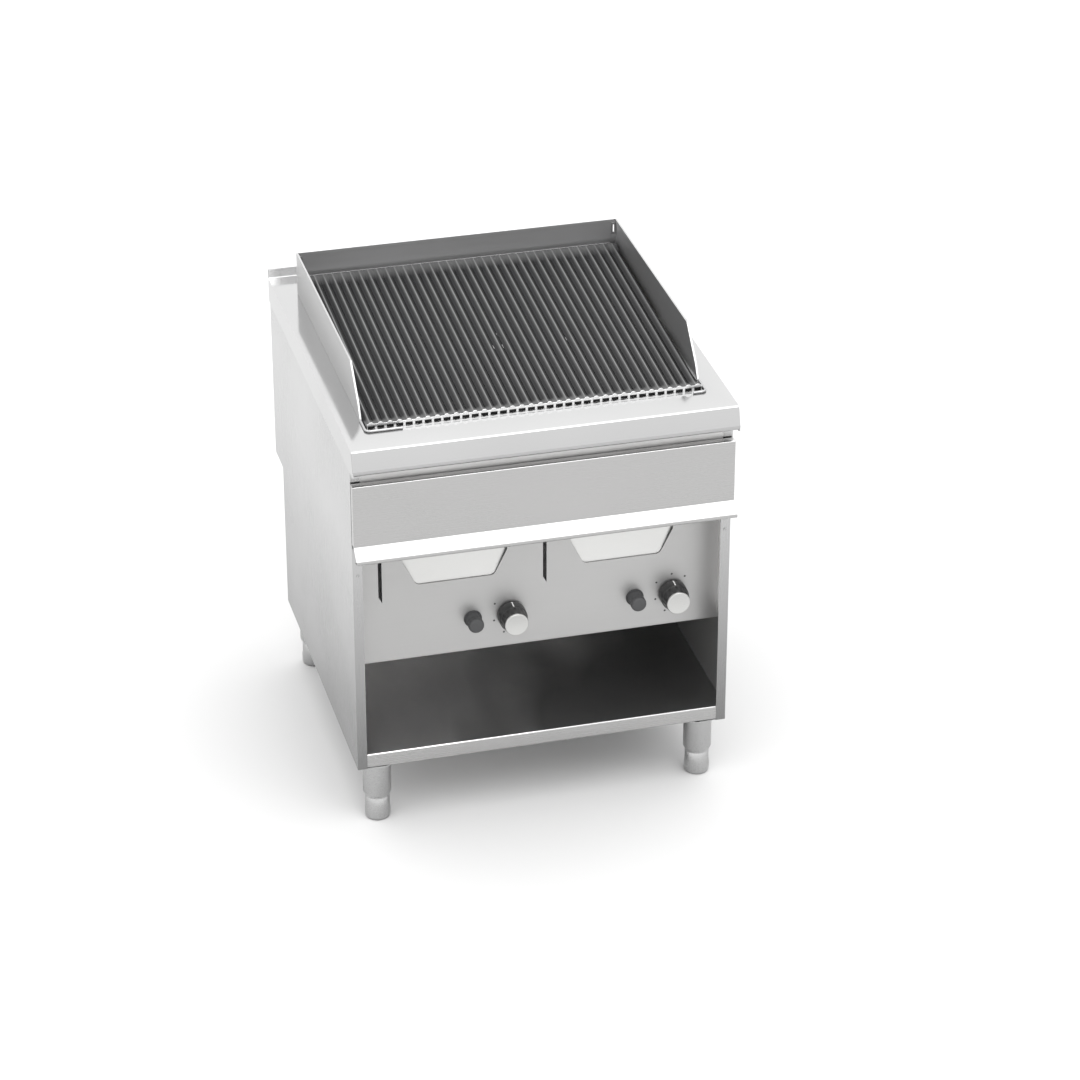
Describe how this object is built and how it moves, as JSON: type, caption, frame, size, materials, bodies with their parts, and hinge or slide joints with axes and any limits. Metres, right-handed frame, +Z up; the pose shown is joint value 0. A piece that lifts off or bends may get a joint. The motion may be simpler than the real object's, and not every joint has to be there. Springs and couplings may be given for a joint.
{
  "type": "charbroiler grill",
  "caption": "Free-standing gas charbroiler grill: sloping iron grate with splash guard over burners, grease drawer, control panel with knobs, open cabinet on screw feet.",
  "frame": {"origin": "on the floor, under the middle of the whole grill's width and depth", "axes": "+Z up, -Y to the cook, +X to the cook's right"},
  "size_m": [0.8, 0.86, 0.996],
  "materials": {
    "steel_sheet": "satin brushed stainless sheet",
    "steel_dull": "unpolished stainless sheet",
    "steel_bright": "polished stainless",
    "tube_steel": "turned stainless tube",
    "grate_iron": "dark seasoned cast iron",
    "knob_plastic": "black moulded thermoset",
    "knob_face": "satin disc",
    "button_rubber": "matt black",
    "gas_brass": "machined",
    "pipe_alloy": "drawn tube",
    "zinc": "die cast",
    "spring_wire": "spring wire",
    "ceramic": "glazed ceramic",
    "screw_steel": "bright screw"
  },
  "bodies": {
    "cabinet": {"worktop": "steel_sheet", "back_panel_lower": "steel_dull", "back_panel_upper": "steel_dull", "cabinet_floor": "steel_sheet", "heat_shield": "steel_dull", "cross_rail_front": "steel_dull", "control_panel": "steel_sheet", "panel_screws": "screw_steel", "firebox": "steel_dull", "gas_manifold": "tube_steel", "gas_inlet_pipe": "tube_steel", "drain_comb": "steel_bright", "grate_rest": "steel_dull", "leg_screws": "screw_steel", "sight_reflectors": "steel_bright", "injectors": "gas_brass", "burner_rail_front": "steel_dull", "burner_rail_rear": "steel_dull", "pilot_burners": "steel_dull", "spark_electrodes": "ceramic", "flame_sensors": "gas_brass", "leg_tubes": "tube_steel", "side_panel_left": "steel_sheet", "burner_left": "steel_dull", "flame_tamers_left": "steel_dull", "gas_valve_left": "zinc", "feed_pipe_left": "pipe_alloy", "igniter_body_left": "knob_plastic", "igniter_spring_left": "spring_wire", "drawer_runner_left": "steel_dull", "side_panel_right": "steel_sheet", "burner_right": "steel_dull", "flame_tamers_right": "steel_dull", "gas_valve_right": "zinc", "feed_pipe_right": "pipe_alloy", "igniter_body_right": "knob_plastic", "igniter_spring_right": "spring_wire", "drawer_runner_right": "steel_dull"},
    "drawer": {"drawer_front": "steel_sheet", "drawer_tray": "steel_dull"},
    "splash_guard": {"splash_back": "steel_sheet", "splash_side_left": "steel_sheet", "splash_side_right": "steel_sheet", "guard_hooks": "steel_bright"},
    "grate_left": {"grate_left": "grate_iron"},
    "valve_push_left": {"plunger_left": "gas_brass"},
    "knob_left": {"knob_left": "knob_plastic", "knob_cap_left": "knob_face", "spindle_left": "zinc"},
    "igniter_button_left": {"igniter_button_left": "button_rubber"},
    "foot_front_left": {"foot_front_left": "tube_steel"},
    "foot_rear_left": {"foot_rear_left": "tube_steel"},
    "grate_right": {"grate_right": "grate_iron"},
    "valve_push_right": {"plunger_right": "gas_brass"},
    "knob_right": {"knob_right": "knob_plastic", "knob_cap_right": "knob_face", "spindle_right": "zinc"},
    "igniter_button_right": {"igniter_button_right": "button_rubber"},
    "foot_front_right": {"foot_front_right": "tube_steel"},
    "foot_rear_right": {"foot_rear_right": "tube_steel"}
  },
  "joints": [
    {"name": "drawer_slide", "type": "slide", "parent": "cabinet", "child": "drawer", "axis": [0, -1, 0], "range_m": [0, 0.48]},
    {"name": "splash_guard_lift", "type": "slide", "parent": "cabinet", "child": "splash_guard", "axis": [0, 0, 1], "range_m": [0, 0.12]},
    {"name": "grate_left_lift", "type": "slide", "parent": "cabinet", "child": "grate_left", "axis": [0, 0, 1], "range_m": [0, 0.09]},
    {"name": "knob_left_push", "type": "slide", "parent": "cabinet", "child": "valve_push_left", "axis": [0, 1, 0], "range_m": [0, 0.003], "stiffness_N_per_m": 1200, "springref_m": -0.004},
    {"name": "knob_left_turn", "type": "hinge", "parent": "valve_push_left", "child": "knob_left", "pos_m": [-0.0525, -0.319, 0.43], "axis": [0, -1, 0], "range_deg": [0, 180]},
    {"name": "igniter_left_press", "type": "slide", "parent": "cabinet", "child": "igniter_button_left", "axis": [0, 1, 0], "range_m": [0, 0.005], "stiffness_N_per_m": 700, "springref_m": -0.004, "deforming": ["igniter_spring_left"]},
    {"name": "foot_front_left_height", "type": "slide", "parent": "cabinet", "child": "foot_front_left", "axis": [0, 0, -1], "range_m": [0, 0.03]},
    {"name": "foot_rear_left_height", "type": "slide", "parent": "cabinet", "child": "foot_rear_left", "axis": [0, 0, -1], "range_m": [0, 0.03]},
    {"name": "grate_right_lift", "type": "slide", "parent": "cabinet", "child": "grate_right", "axis": [0, 0, 1], "range_m": [0, 0.09]},
    {"name": "knob_right_push", "type": "slide", "parent": "cabinet", "child": "valve_push_right", "axis": [0, 1, 0], "range_m": [0, 0.003], "stiffness_N_per_m": 1200, "springref_m": -0.004},
    {"name": "knob_right_turn", "type": "hinge", "parent": "valve_push_right", "child": "knob_right", "pos_m": [0.2955, -0.319, 0.43], "axis": [0, -1, 0], "range_deg": [0, 180]},
    {"name": "igniter_right_press", "type": "slide", "parent": "cabinet", "child": "igniter_button_right", "axis": [0, 1, 0], "range_m": [0, 0.005], "stiffness_N_per_m": 700, "springref_m": -0.004, "deforming": ["igniter_spring_right"]},
    {"name": "foot_front_right_height", "type": "slide", "parent": "cabinet", "child": "foot_front_right", "axis": [0, 0, -1], "range_m": [0, 0.03]},
    {"name": "foot_rear_right_height", "type": "slide", "parent": "cabinet", "child": "foot_rear_right", "axis": [0, 0, -1], "range_m": [0, 0.03]}
  ]
}
